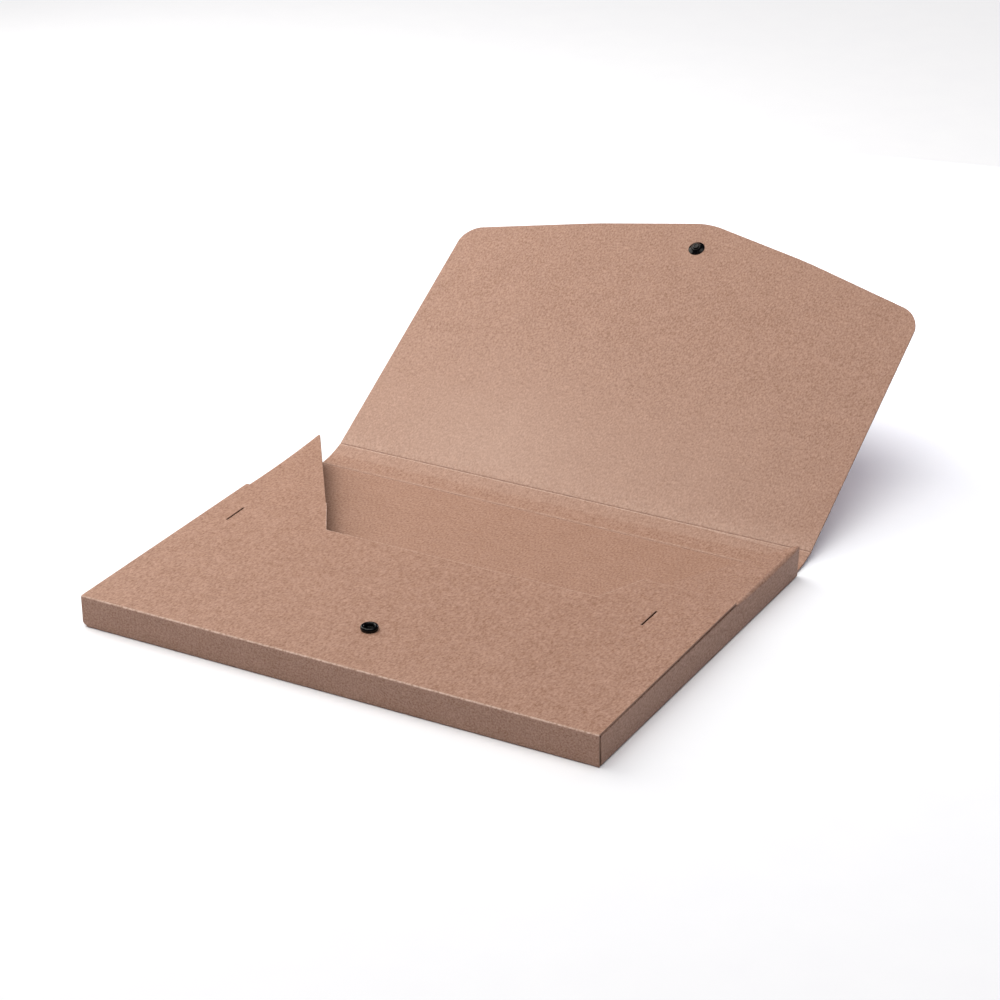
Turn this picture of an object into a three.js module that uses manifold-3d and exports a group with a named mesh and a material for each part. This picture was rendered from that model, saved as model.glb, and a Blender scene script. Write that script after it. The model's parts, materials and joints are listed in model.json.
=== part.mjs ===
// Document case of folded kraft card, lying on its back panel with the closing flap open.
// Millimetres, +Z up. X runs along the bottom wall, Y from the bottom wall to the spine.
// The origin is the centre of the back panel's outer face, which is the face the case rests on.
import * as THREE from "three";
import { mergeVertices } from "three/addons/utils/BufferGeometryUtils.js";
import Module from "manifold-3d";

// Driving dimensions: card and case
const CARD = 1.0; // thickness of the card
const GAP = 0.3; // clearance between neighbouring pieces
const WIDTH = 330; // outer width, along the bottom wall
const DEPTH = 245; // outer depth, from the bottom wall to the lower crease
const HEIGHT = 19.5; // outer height, from the rest face to the top of the front panel
const BACK_INSET = 0.5; // how far side walls and tuck flaps stop short of the lower crease

// Driving dimensions: front panel, with its finger notch and lock slits
const PANEL_DEPTH = 166;
const PANEL_TAPER = 2.2; // how far each side draws in towards the panel's free end
const NOTCH = {
  depth: 30.5,
  topLeft: -105,
  topRight: 105,
  bottomLeft: -87.5,
  bottomRight: 92,
  cornerRadius: 1.5,
};
const SLIT_WIDTH = 0.8;
const SLITS = [
  { x: -147, fromFront: 120, toFront: 137 },
  { x: 129, fromFront: 119, toFront: 136 },
];

// Driving dimensions: tuck flaps
const TUCK = { width: 59, diagonalRun: { left: 79, right: 90 }, frontInset: 3, frontChamfer: 12 };

// Driving dimensions: spine and flap
const LID_WIDTH = 326; // width of the spine, and of the flap at its crease
const SPINE_LENGTH = 22.5; // from the lower crease to the upper crease
const SPINE_LIFT = 11.5; // degrees above the ground, at rest
const FLAP_LIFT = 29.4; // degrees above the ground, at rest
const FLAP_END_WIDTH = 323.5;
const FLAP_SIDE = 185; // from the upper crease to the flap's corners
const FLAP_SHOULDER = { x: 75, y: 208.7, radius: 300 };
const FLAP_APEX = 224.6;
const FLAP_CORNER_RADIUS = 18;
const FLAP_APEX_RADIUS = 40;

// Driving dimensions: snap fastener
const SNAP_FROM_FRONT = 42.3;
const PIN = { radius: 1.1, holeRadius: 1.5 };
const SOCKET = { flange: 5.4, rim: 4.5, hole: 2.4, floorTop: 0.6, flangeTop: 0.8, top: 2.3 };
const STUD = { flange: 4.9, neck: 1.7, ball: 2.0, flangeTop: 0.7, ballMiddle: 1.9, top: 2.7, pinRoom: 1.0 };
const CAP = { radius: 6, edge: 0.4, dome: 1.1 };
const EDGE_BREAK = 0.3; // chamfer on the rims of the flanges
const RIM_BREAK = 0.5; // chamfer on the rim of the socket

// Fineness of the faceted round shapes
const SNAP_SIDES = 40;
const DOME_STEPS = 4;
const CURVE_STEPS = 12;

const KRAFT = "#b8937d";
const BLACK = "#161617";

const wasm = await Module();
wasm.setup();

const document_case = new THREE.Group();

function kraft_card() {
  return new THREE.MeshStandardMaterial({ color: KRAFT, roughness: 0.92, metalness: 0 });
}

function black_plastic() {
  return new THREE.MeshStandardMaterial({ color: BLACK, roughness: 0.25, metalness: 0 });
}

function add_mesh(parent, name, geometry, material) {
  const mesh = new THREE.Mesh(geometry, material);
  mesh.name = name;
  parent.add(mesh);
  return mesh;
}

// Closed outline through corners {x, y, radius}, each rounded by a curve that ends on its two edges.
function rounded_outline(corners) {
  const outline = new THREE.Shape();
  corners.forEach((corner, i) => {
    const here = new THREE.Vector2(corner.x, corner.y);
    const before = corners.at(i - 1);
    const after = corners[(i + 1) % corners.length];
    const back = new THREE.Vector2(before.x, before.y).sub(here).normalize();
    const ahead = new THREE.Vector2(after.x, after.y).sub(here).normalize();
    const half_angle = Math.acos(THREE.MathUtils.clamp(back.dot(ahead), -1, 1)) / 2;
    const cut = (corner.radius ?? 0) / Math.tan(half_angle);
    const start = here.clone().addScaledVector(back, cut);
    const end = here.clone().addScaledVector(ahead, cut);
    if (i === 0) outline.moveTo(start.x, start.y);
    else outline.lineTo(start.x, start.y);
    if (cut > 0) outline.quadraticCurveTo(here.x, here.y, end.x, end.y);
  });
  outline.closePath();
  return outline;
}

function rectangle(x0, y0, x1, y1) {
  const corners = [
    { x: x0, y: y0 },
    { x: x1, y: y0 },
    { x: x1, y: y1 },
    { x: x0, y: y1 },
  ];
  return rounded_outline(corners);
}

function round_hole(x, y, radius) {
  return new THREE.Path().absarc(x, y, radius, 0, 2 * Math.PI, true);
}

// A sheet of card over an outline in X and Y, from height z up by the card's thickness.
function card_sheet(outline, z) {
  const sheet = new THREE.ExtrudeGeometry(outline, {
    depth: CARD,
    bevelEnabled: false,
    curveSegments: CURVE_STEPS,
  });
  return sheet.translate(0, 0, z);
}

function box_between(low, high) {
  const size = high.map((value, i) => value - low[i]);
  const middle = high.map((value, i) => (value + low[i]) / 2);
  return new THREE.BoxGeometry(...size).translate(...middle);
}

// A solid turned about Z from a closed profile of [radius, height] pairs.
function turned(profile) {
  const points = profile.map(([radius, height]) => new THREE.Vector2(radius, height));
  return new THREE.LatheGeometry(points, SNAP_SIDES).rotateX(Math.PI / 2);
}

// Profile of a dome from its rim, at the given radius and height, to its tip on the axis.
function dome(radius, rim, tip) {
  return Array.from({ length: DOME_STEPS + 1 }, (_, step) => {
    if (step === DOME_STEPS) return [0, tip];
    const angle = (Math.PI / 2) * (step / DOME_STEPS);
    return [radius * Math.cos(angle), rim + (tip - rim) * Math.sin(angle)];
  });
}

function to_solid(geometry) {
  const bare = new THREE.BufferGeometry();
  bare.setAttribute("position", geometry.getAttribute("position"));
  bare.setIndex(geometry.getIndex());
  const merged = mergeVertices(bare);
  const mesh = new wasm.Mesh({
    numProp: 3,
    vertProperties: merged.getAttribute("position").array,
    triVerts: new Uint32Array(merged.getIndex().array),
  });
  return new wasm.Manifold(mesh);
}

function to_geometry(solid) {
  const { vertProperties, triVerts } = solid.getMesh();
  const geometry = new THREE.BufferGeometry();
  geometry.setAttribute("position", new THREE.BufferAttribute(vertProperties, 3));
  geometry.setIndex(new THREE.BufferAttribute(triVerts, 1));
  geometry.computeVertexNormals();
  return geometry;
}

const front = -DEPTH / 2;
const back = DEPTH / 2;
const side = WIDTH / 2; // outer face of a side wall
const panel_bottom = HEIGHT - CARD;
const tuck_bottom = panel_bottom - GAP - CARD;
const wall_foot = CARD + GAP;

function build_back_panel() {
  const sheet = card_sheet(rectangle(-side, front, side, back), 0);
  add_mesh(document_case, "back_panel", sheet, kraft_card());
}

function build_bottom_wall() {
  const end = side - CARD - GAP;
  const low = [-end, front, wall_foot];
  const high = [end, front + CARD, panel_bottom - GAP];
  add_mesh(document_case, "bottom_wall", box_between(low, high), kraft_card());
}

// One side: the wall, and the tuck flap folded inwards from its top. hand is -1 left, 1 right.
function build_side(name, hand) {
  const wall = box_between(
    [side - CARD, front, wall_foot],
    [side, back - BACK_INSET, tuck_bottom - GAP],
  ).translate((hand - 1) * (side - CARD / 2), 0, 0);
  const inner = side - TUCK.width;
  const start = front + TUCK.frontInset;
  const end = back - BACK_INSET;
  const corners = [
    { x: side, y: start },
    { x: side, y: end },
    { x: side - CARD, y: end },
    { x: inner, y: end - TUCK.diagonalRun[name] },
    { x: inner, y: start + TUCK.frontChamfer },
    { x: inner + TUCK.frontChamfer, y: start },
  ];
  const placed = corners.map(({ x, y }) => ({ x: hand * x, y }));
  const tuck = card_sheet(rounded_outline(placed), tuck_bottom);
  add_mesh(document_case, `${name}_wall`, wall, kraft_card());
  add_mesh(document_case, `${name}_tuck_flap`, tuck, kraft_card());
}

function build_front_panel() {
  const end = front + PANEL_DEPTH;
  const notch_bottom = end - NOTCH.depth;
  const corners = [
    { x: -side, y: front },
    { x: side, y: front },
    { x: side - PANEL_TAPER, y: end },
    { x: NOTCH.topRight, y: end, radius: NOTCH.cornerRadius },
    { x: NOTCH.bottomRight, y: notch_bottom, radius: NOTCH.cornerRadius },
    { x: NOTCH.bottomLeft, y: notch_bottom, radius: NOTCH.cornerRadius },
    { x: NOTCH.topLeft, y: end, radius: NOTCH.cornerRadius },
    { x: -side + PANEL_TAPER, y: end },
  ];
  const outline = rounded_outline(corners);
  for (const slit of SLITS) {
    const half = SLIT_WIDTH / 2;
    outline.holes.push(
      rectangle(slit.x - half, front + slit.fromFront, slit.x + half, front + slit.toFront),
    );
  }
  outline.holes.push(round_hole(0, front + SNAP_FROM_FRONT, PIN.holeRadius));
  add_mesh(document_case, "front_panel", card_sheet(outline, panel_bottom), kraft_card());
}

// Cap with a domed head below z = 0 and a pin that rises through the card to the given height.
function cap_with_pin(pin_top) {
  const head_top = -GAP;
  return turned([
    ...dome(CAP.radius, head_top - CAP.edge, head_top - CAP.dome).reverse(),
    [CAP.radius, head_top],
    [PIN.radius, head_top],
    [PIN.radius, pin_top],
    [0, pin_top],
  ]);
}

// Socket half: a flanged ring whose hole takes the stud, with a thin floor around the pin.
function snap_socket() {
  const { flange, rim, hole, floorTop, flangeTop, top } = SOCKET;
  return turned([
    [PIN.holeRadius, 0],
    [flange, 0],
    [flange, flangeTop - EDGE_BREAK],
    [flange - EDGE_BREAK, flangeTop],
    [rim, flangeTop],
    [rim, top - RIM_BREAK],
    [rim - RIM_BREAK, top],
    [hole + RIM_BREAK, top],
    [hole, top - RIM_BREAK],
    [hole, floorTop],
    [PIN.holeRadius, floorTop],
    [PIN.holeRadius, 0],
  ]);
}

// Stud half: a flange with a ball-ended post, hollow at its foot for the pin.
function snap_stud() {
  const { flange, neck, ball, flangeTop, ballMiddle, top, pinRoom } = STUD;
  const post = turned([
    [0, 0],
    [flange, 0],
    [flange, flangeTop - EDGE_BREAK],
    [flange - EDGE_BREAK, flangeTop],
    [neck, flangeTop],
    [neck, flangeTop + EDGE_BREAK],
    ...dome(ball, ballMiddle, top),
  ]);
  const bore = new THREE.CylinderGeometry(PIN.holeRadius, PIN.holeRadius, 2 * pinRoom, SNAP_SIDES);
  return to_geometry(to_solid(post).subtract(to_solid(bore.rotateX(Math.PI / 2))));
}

function build_socket() {
  const place = new THREE.Group();
  place.position.set(0, front + SNAP_FROM_FRONT, HEIGHT);
  document_case.add(place);
  add_mesh(place, "snap_socket", snap_socket().translate(0, 0, GAP), black_plastic());
  const cap = cap_with_pin(CARD + GAP).translate(0, 0, -CARD);
  add_mesh(place, "socket_cap", cap, black_plastic());
}

// The lid's two panels hang from their creases, whose axes lie on the card's inner face.
function build_lid() {
  const lower_crease = new THREE.Group();
  lower_crease.position.set(0, back + GAP / 2, CARD);
  lower_crease.rotation.x = THREE.MathUtils.degToRad(SPINE_LIFT);
  document_case.add(lower_crease);
  const half = LID_WIDTH / 2;
  const spine = rectangle(-half, GAP / 2, half, SPINE_LENGTH - GAP / 2);
  add_mesh(lower_crease, "spine", card_sheet(spine, -CARD), kraft_card());

  const upper_crease = new THREE.Group();
  upper_crease.position.y = SPINE_LENGTH;
  upper_crease.rotation.x = THREE.MathUtils.degToRad(FLAP_LIFT - SPINE_LIFT);
  lower_crease.add(upper_crease);
  const end_half = FLAP_END_WIDTH / 2;
  const outline = rounded_outline([
    { x: -half, y: GAP / 2 },
    { x: half, y: GAP / 2 },
    { x: end_half, y: FLAP_SIDE, radius: FLAP_CORNER_RADIUS },
    { ...FLAP_SHOULDER },
    { x: 0, y: FLAP_APEX, radius: FLAP_APEX_RADIUS },
    { ...FLAP_SHOULDER, x: -FLAP_SHOULDER.x },
    { x: -end_half, y: FLAP_SIDE, radius: FLAP_CORNER_RADIUS },
  ]);
  const snap_reach = back + GAP / 2 - (front + SNAP_FROM_FRONT);
  outline.holes.push(round_hole(0, snap_reach, PIN.holeRadius));
  add_mesh(upper_crease, "flap", card_sheet(outline, -CARD), kraft_card());

  const place = new THREE.Group();
  place.position.y = snap_reach;
  upper_crease.add(place);
  add_mesh(place, "snap_stud", snap_stud().translate(0, 0, GAP), black_plastic());
  const cap = cap_with_pin(CARD + STUD.pinRoom).translate(0, 0, -CARD);
  add_mesh(place, "stud_cap", cap, black_plastic());
}

build_back_panel();
build_bottom_wall();
build_side("left", -1);
build_side("right", 1);
build_front_panel();
build_socket();
build_lid();

export default document_case;
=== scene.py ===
"""Looks of a document case: one folded blank of kraft board with a black plastic snap.

Metres, +Z up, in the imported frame. X runs along the bottom wall, Y from the bottom wall to the spine.
"""

import json
import logging
import math
from dataclasses import dataclass
from enum import Enum
from typing import Callable, ClassVar, Sequence

import bmesh
import bpy
from bmesh.types import BMEdge, BMesh, BMFace, BMVert
from bpy.types import Material, Node, NodeSocket, NodeTree, Object
from mathutils import Matrix, Vector
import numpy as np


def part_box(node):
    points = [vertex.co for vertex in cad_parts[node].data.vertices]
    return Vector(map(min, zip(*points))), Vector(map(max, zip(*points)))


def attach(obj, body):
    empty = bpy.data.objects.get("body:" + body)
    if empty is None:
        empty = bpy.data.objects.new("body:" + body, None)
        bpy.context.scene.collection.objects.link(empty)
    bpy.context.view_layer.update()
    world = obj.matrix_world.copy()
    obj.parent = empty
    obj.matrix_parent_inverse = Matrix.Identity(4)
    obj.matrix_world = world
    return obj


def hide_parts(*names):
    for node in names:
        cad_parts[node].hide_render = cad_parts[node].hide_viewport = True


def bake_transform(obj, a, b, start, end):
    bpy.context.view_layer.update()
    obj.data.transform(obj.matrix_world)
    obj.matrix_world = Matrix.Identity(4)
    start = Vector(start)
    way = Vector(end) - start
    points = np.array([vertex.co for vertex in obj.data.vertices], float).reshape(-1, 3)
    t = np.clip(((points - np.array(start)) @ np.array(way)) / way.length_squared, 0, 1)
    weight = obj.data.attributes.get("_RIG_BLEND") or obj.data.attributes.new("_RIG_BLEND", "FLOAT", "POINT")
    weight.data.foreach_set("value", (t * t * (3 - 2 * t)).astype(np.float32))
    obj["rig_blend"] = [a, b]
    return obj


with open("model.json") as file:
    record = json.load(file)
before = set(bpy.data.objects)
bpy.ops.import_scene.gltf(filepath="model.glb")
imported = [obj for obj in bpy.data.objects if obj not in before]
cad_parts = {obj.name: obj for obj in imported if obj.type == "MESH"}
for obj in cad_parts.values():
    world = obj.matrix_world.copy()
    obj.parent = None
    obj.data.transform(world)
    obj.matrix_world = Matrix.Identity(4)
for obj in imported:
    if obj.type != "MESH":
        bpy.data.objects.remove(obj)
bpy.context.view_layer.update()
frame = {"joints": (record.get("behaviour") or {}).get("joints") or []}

MM = 0.001
TOLERANCE = 0.05 * MM
MERGE = 0.001 * MM
LOG = logging.getLogger("document_case")

# Names of the vertex attributes that card pieces carry and their finish reads: wear with painted highlights
# and painted light, burnish with painted shade in score grooves, and a painted sheen with some flexing
WEAR_AND_HIGHLIGHT, SCORE, BLOOM_AND_SHEEN = "fold_wear", "score_shade", "flex_bloom"

# Sockets of Blender's Mix node when it mixes colours
MIX_FACTOR, MIX_A, MIX_B, MIX_RESULT = 0, 6, 7, 2

# Inputs of a node: name or index, with the output to link or the value to set
Sockets = dict[str | int, object]


class Body(Enum):
    """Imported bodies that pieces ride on."""

    CASE = "case"
    SPINE = "spine"
    FLAP = "flap"


class Slot(Enum):
    """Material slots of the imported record."""

    CARD = "kraft_card"
    PLASTIC = "black_plastic"


class Hand(Enum):
    """Side of the case, as the sign of X."""

    LEFT = -1
    RIGHT = 1


class Face(Enum):
    """Material index of a card piece's faces."""

    SHEET = 0
    CUT_EDGE = 1


class Lamp(Enum):
    """Kinds of studio light."""

    SUN = "SUN"
    SOFTBOX = "AREA"


def linear(colour: str) -> tuple[float, float, float, float]:
    """Turns an sRGB hex colour into linear RGBA.

    Args:
        colour: the colour as #rrggbb.

    Returns:
        Red, green, blue and alpha, as Blender's sockets take them.
    """
    channels = [int(colour[i : i + 2], 16) / 255 for i in (1, 3, 5)]
    red, green, blue = (c / 12.92 if c <= 0.04045 else ((c + 0.055) / 1.055) ** 2.4 for c in channels)
    return red, green, blue, 1.0


def set_sockets(tree: NodeTree, node: Node, sockets: Sockets) -> None:
    """Links or sets a node's inputs.

    Args:
        tree: the material's node tree.
        node: the node.
        sockets: the inputs.
    """
    for key, value in sockets.items():
        if isinstance(value, NodeSocket):
            tree.links.new(value, node.inputs[key])
        else:
            node.inputs[key].default_value = value


def add_node(
    tree: NodeTree, kind: str, output: str | int, sockets: Sockets | None = None, **settings: object
) -> NodeSocket:
    """Adds a shader node with its settings and links.

    Args:
        tree: the material's node tree.
        kind: Blender's name of the node type, without ShaderNode.
        output: name or index of the output to give back.
        sockets: the inputs.
        settings: the node's own attributes.

    Returns:
        The output.
    """
    node = tree.nodes.new(f"ShaderNode{kind}")
    for name, value in settings.items():
        setattr(node, name, value)
    set_sockets(tree, node, sockets or {})
    return node.outputs[output]


@dataclass(frozen=True)
class Finish:
    """Finish of a surface, laid by Object coordinates."""

    name: str

    def material(self) -> Material:
        """Builds the node material.

        Returns:
            The material, with the finish on its shader.
        """
        material = bpy.data.materials.new(self.name)
        material.use_nodes = True
        tree = material.node_tree
        place = add_node(tree, "TexCoord", "Object")
        set_sockets(tree, tree.nodes["Principled BSDF"], self.sockets(tree, place))
        return material

    def sockets(self, tree: NodeTree, place: NodeSocket) -> Sockets:
        """Adds the nodes and gives the shader's inputs, each kind of finish in its own way."""
        raise NotImplementedError


@dataclass(frozen=True)
class KraftBoard(Finish):
    """Unbleached recycled kraft board with calendered faces: matt, with fibres and pulp clouds."""

    name: str = "kraft_board_calendered"
    warm: str = "#a07b67"
    cool: str = "#9a7766"
    # The pale tint paints wear, and also painted highlights, painted light and a painted sheen; the dark tint
    # paints burnish, and also painted shade in score grooves.
    worn_and_lit: str = "#d3b8aa"
    burnished_and_shaded: str = "#6b4c3e"
    cloud_size: float = 16 * MM
    cloud_strength: float = 0.09
    mottle_size: float = 4.5 * MM
    # Real fibres are about 0.03 mm thick; these are drawn coarser so that they show.
    speckle_size: float = 1.05 * MM
    speckle_strength: float = 0.78
    fibre_length: float = 2.4 * MM
    fibre_width: float = 0.5 * MM
    fibre_strength: float = 0.09
    fibre_tilt: tuple[float, float] = (0.6, 0.4)
    dark_fibre_turn: float = 0.45
    pale_fibre_turn: float = -0.9
    fibre_gate: tuple[float, float] = (0.62, 0.76)
    # The web ran along Y in the machine, which draws the grain out that way.
    grain_stretch: float = 1.8
    octave_gain: float = 0.55
    wear_size: float = 1.6 * MM
    wear_gate: tuple[float, float] = (0.3, 0.6)
    # Bright grains are bare pulp, which is greyer than the board.
    pulp_grey: float = 0.26
    relief: float = 0.05 * MM
    relief_strength: float = 0.45
    roughness: tuple[float, float] = (0.55, 0.72)
    ior: float = 1.5

    def sockets(self, tree: NodeTree, place: NodeSocket) -> Sockets:
        """Adds the board's nodes, which also read the card's attributes.

        Args:
            tree: the material's node tree.
            place: the coordinates to read.

        Returns:
            The shader's inputs.
        """
        stretch = {"Vector": place, "Scale": (1.0, 1 / self.grain_stretch, 1.0)}
        grain = add_node(tree, "Mapping", "Vector", stretch)
        noises = (
            {"Vector": where, "Scale": 1 / size, "Detail": detail, "Roughness": self.octave_gain}
            for where, size, detail in (
                (place, self.cloud_size, 3.0),
                (place, self.mottle_size, 2.0),
                (grain, self.speckle_size, 3.0),
                (place, self.wear_size, 3.0),
            )
        )
        cloud, mottle, speckle, rubbed = (add_node(tree, "TexNoise", "Fac", noise) for noise in noises)
        dark_fibre = self._fibres(tree, place, self.dark_fibre_turn)
        pale_fibre = self._fibres(tree, place, self.pale_fibre_turn)
        patterns = (
            (cloud, self.cloud_strength),
            (speckle, self.speckle_strength),
            (dark_fibre, -self.fibre_strength),
            (pale_fibre, self.fibre_strength),
        )
        smooth, rough = self.roughness
        height = add_node(tree, "Math", 0, {0: speckle, 1: pale_fibre}, operation="ADD")
        bump = {"Strength": self.relief_strength, "Distance": self.relief, "Height": height}
        gloss = {"Value": speckle, "To Min": smooth, "To Max": rough}
        return {
            "Base Color": self._marked(tree, rubbed, self._toned(tree, mottle, patterns)),
            "Roughness": add_node(tree, "MapRange", "Result", gloss),
            "Normal": add_node(tree, "Bump", "Normal", bump),
            "IOR": self.ior,
        }

    def _fibres(self, tree: NodeTree, place: NodeSocket, turn: float) -> NodeSocket:
        """Adds sparse fibres that lie in one main direction.

        Args:
            tree: the material's node tree.
            place: the coordinates to read.
            turn: the direction, in radians about Z.

        Returns:
            1 on a fibre and 0 beside it.
        """
        scale = (1 / self.fibre_length, 1 / self.fibre_width, 1 / self.fibre_width)
        lie = {"Vector": place, "Rotation": (*self.fibre_tilt, turn), "Scale": scale}
        turned = add_node(tree, "Mapping", "Vector", lie)
        streaks = {"Vector": turned, "Scale": 1.0, "Detail": 1.0, "Distortion": 0.6}
        low, high = self.fibre_gate
        sparse = {"Value": add_node(tree, "TexNoise", "Fac", streaks), "From Min": low, "From Max": high}
        return add_node(tree, "MapRange", "Result", sparse, interpolation_type="SMOOTHSTEP")

    def _toned(
        self, tree: NodeTree, mottle: NodeSocket, patterns: Sequence[tuple[NodeSocket, float]]
    ) -> NodeSocket:
        """Colours the board and varies its tone.

        Args:
            tree: the material's node tree.
            mottle: the share of the cooler colour.
            patterns: noises about 0.5 and sparse fibres, each with its strength.

        Returns:
            The board's own colour.
        """
        mix = {MIX_FACTOR: mottle, MIX_A: linear(self.warm), MIX_B: linear(self.cool)}
        ground = add_node(tree, "Mix", MIX_RESULT, mix, data_type="RGBA")
        tone: NodeSocket | float = 1 - (self.cloud_strength + self.speckle_strength) / 2
        for pattern, strength in patterns:
            step = {0: pattern, 1: strength, 2: tone}
            tone = add_node(tree, "Math", 0, step, operation="MULTIPLY_ADD")
        grey = {0: tone, 1: self.pulp_grey, 2: -self.pulp_grey}
        pulp = add_node(tree, "Math", 0, grey, operation="MULTIPLY_ADD")
        toned = {0: ground, 1: tone, 2: pulp}
        return add_node(tree, "VectorMath", "Vector", toned, operation="MULTIPLY_ADD")

    def _marked(self, tree: NodeTree, rubbed: NodeSocket, colour: NodeSocket) -> NodeSocket:
        """Lightens folds with wear, paints a pale sheen and pale highlights and light, and darkens burnish and
        paints shade into score lines.

        Args:
            tree: the material's node tree.
            rubbed: the noise that breaks up wear and scores.
            colour: the board's own colour.

        Returns:
            The colour with wear, burnish, and painted light and shade.
        """
        low, high = self.wear_gate
        patches = add_node(tree, "MapRange", "Result", {"Value": rubbed, "From Min": low, "From Max": high})
        # Painted sheen comes first, laid unbroken; wear and burnish carry painted highlights and painted
        # shade, broken into patches.
        marks = ((BLOOM_AND_SHEEN, self.worn_and_lit, 1.0), (WEAR_AND_HIGHLIGHT, self.worn_and_lit, patches), (SCORE, self.burnished_and_shaded, patches))
        for attribute, tint, cover in marks:
            marked = add_node(tree, "Attribute", "Fac", attribute_name=attribute)
            share = add_node(tree, "Math", 0, {0: marked, 1: cover}, operation="MULTIPLY")
            mix = {MIX_FACTOR: share, MIX_A: colour, MIX_B: linear(tint)}
            colour = add_node(tree, "Mix", MIX_RESULT, mix, data_type="RGBA")
        return colour


@dataclass(frozen=True)
class Mottled(Finish):
    """Finish whose colour and relief follow one noise."""

    low_colour: str
    high_colour: str
    size: float
    distortion: float = 0.0
    relief: float = 0.0
    relief_strength: float = 0.0
    roughness: float = 1.0
    specular: float = 0.5

    def sockets(self, tree: NodeTree, place: NodeSocket) -> Sockets:
        """Adds the noise, with its colours and the relief if there is one.

        Args:
            tree: the material's node tree.
            place: the coordinates to read.

        Returns:
            The shader's inputs.
        """
        mottle = {"Vector": place, "Scale": 1 / self.size, "Detail": 2.0, "Distortion": self.distortion}
        noise = add_node(tree, "TexNoise", "Fac", mottle)
        mix = {MIX_FACTOR: noise, MIX_A: linear(self.low_colour), MIX_B: linear(self.high_colour)}
        inputs: Sockets = {
            "Base Color": add_node(tree, "Mix", MIX_RESULT, mix, data_type="RGBA"),
            "Roughness": self.roughness,
            "Specular IOR Level": self.specular,
        }
        if self.relief:
            bump = {"Strength": self.relief_strength, "Distance": self.relief, "Height": noise}
            inputs["Normal"] = add_node(tree, "Bump", "Normal", bump)
        return inputs


@dataclass(frozen=True)
class DieCutEdge(Mottled):
    """Die-cut edge of kraft board: raw pulp, paler and greyer than the calendered faces."""

    name: str = "kraft_board_die_cut_edge"
    low_colour: str = "#8a6c5d"
    high_colour: str = "#ab8d7d"
    # Plies are about 0.1 mm thick; they are drawn coarser so that they show.
    size: float = 0.35 * MM
    relief: float = 0.06 * MM
    relief_strength: float = 0.7
    roughness: float = 0.95
    specular: float = 0.2


@dataclass(frozen=True)
class BlackAcetal(Mottled):
    """Black acetal moulded in a polished tool: glossy and deep black, with flow marks and scuffs."""

    name: str = "acetal_black_moulded"
    low_colour: str = "#030304"
    high_colour: str = "#0b0b0c"
    size: float = 2.2 * MM
    distortion: float = 0.8
    relief: float = 0.01 * MM
    relief_strength: float = 0.3
    specular: float = 0.22
    ior: float = 1.48
    scuff_size: float = 0.4 * MM
    scuff_gate: tuple[float, float] = (0.35, 0.75)
    scuff_roughness: tuple[float, float] = (0.1, 0.22)

    def sockets(self, tree: NodeTree, place: NodeSocket) -> Sockets:
        """Adds the flow marks, and the scuffs that dull the polish.

        Args:
            tree: the material's node tree.
            place: the coordinates to read.

        Returns:
            The shader's inputs.
        """
        scuff = {"Vector": place, "Scale": 1 / self.scuff_size, "Detail": 3.0}
        scuffs = add_node(tree, "TexNoise", "Fac", scuff)
        (low, high), (smooth, rough) = self.scuff_gate, self.scuff_roughness
        gloss = {"Value": scuffs, "From Min": low, "From Max": high, "To Min": smooth, "To Max": rough}
        dulled = {"Roughness": add_node(tree, "MapRange", "Result", gloss), "IOR": self.ior}
        return super().sockets(tree, place) | dulled


@dataclass(frozen=True)
class SeamlessPaper(Mottled):
    """White seamless backdrop paper: matt, with the faintest tooth."""

    name: str = "seamless_paper_white"
    low_colour: str = "#f2f6fc"
    high_colour: str = "#eff3fa"
    size: float = 30 * MM
    specular: float = 0.1


@dataclass(frozen=True)
class Finishes:
    """The materials that the pieces wear."""

    board: Material
    cut_edge: Material
    plastic: Material

    @classmethod
    def make(cls) -> "Finishes":
        """Builds every finish of the object once."""
        return cls(KraftBoard().material(), DieCutEdge().material(), BlackAcetal().material())


def make_object(name: str, mesh: BMesh, materials: Sequence[Material]) -> Object:
    """Turns a finished bmesh into an object at the origin.

    Args:
        name: the piece's name.
        mesh: the bmesh, which is freed.
        materials: the piece's material slots, in order.

    Returns:
        The new object.
    """
    data = bpy.data.meshes.new(name)
    mesh.to_mesh(data)
    mesh.free()
    for material in materials:
        data.materials.append(material)
    piece = bpy.data.objects.new(name, data)
    bpy.context.scene.collection.objects.link(piece)
    return piece


def round_off(mesh: BMesh, vert: BMVert, cut: float, segments: int) -> None:
    """Rounds one corner of a chain of edges.

    Args:
        mesh: the bmesh that holds the chain.
        vert: the corner.
        cut: how far along its two edges the round reaches.
        segments: how many edges the round gets.
    """
    bmesh.ops.bevel(
        mesh, geom=[vert], offset=cut, offset_type="OFFSET",
        affect="VERTICES", segments=segments, profile=0.5, material=-1,
    )


def spread(start: float, end: float, steps: int) -> list[float]:
    """Divides a stretch evenly into the points after its start, the last one at its end."""
    return [start + (end - start) * step / steps for step in range(1, steps + 1)]


def for_each(value: float | Sequence[float], count: int) -> Sequence[float]:
    """Repeats a single value, and passes on a sequence of them as it is."""
    return value if isinstance(value, Sequence) else [value] * count


@dataclass(frozen=True)
class Corner:
    """Corner of a panel's outline, with the radius that it is rounded to."""

    place: Vector
    radius: float = 0.0

    def cut(self, before: Vector, after: Vector) -> float:
        """The length that the round takes off each edge, between the corners before and after this one."""
        half_angle = (before - self.place).angle(after - self.place) / 2
        return self.radius / math.tan(half_angle)


@dataclass(frozen=True)
class Hole:
    """Hole in a panel: a regular polygon of radius 1, set in its place."""

    place: Matrix
    sides: int = 24

    @classmethod
    def slit(cls, middle: Vector, half_width: float, half_length: float) -> "Hole":
        """Makes a straight knife cut along Y: a square of half size 1, drawn out about the cut's middle."""
        square = Matrix.Rotation(math.pi / 4, 4, "Z") @ Matrix.Scale(math.sqrt(2), 4)
        return cls(Matrix.LocRotScale(middle, None, Vector((half_width, half_length, 1.0))) @ square, 4)


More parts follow.
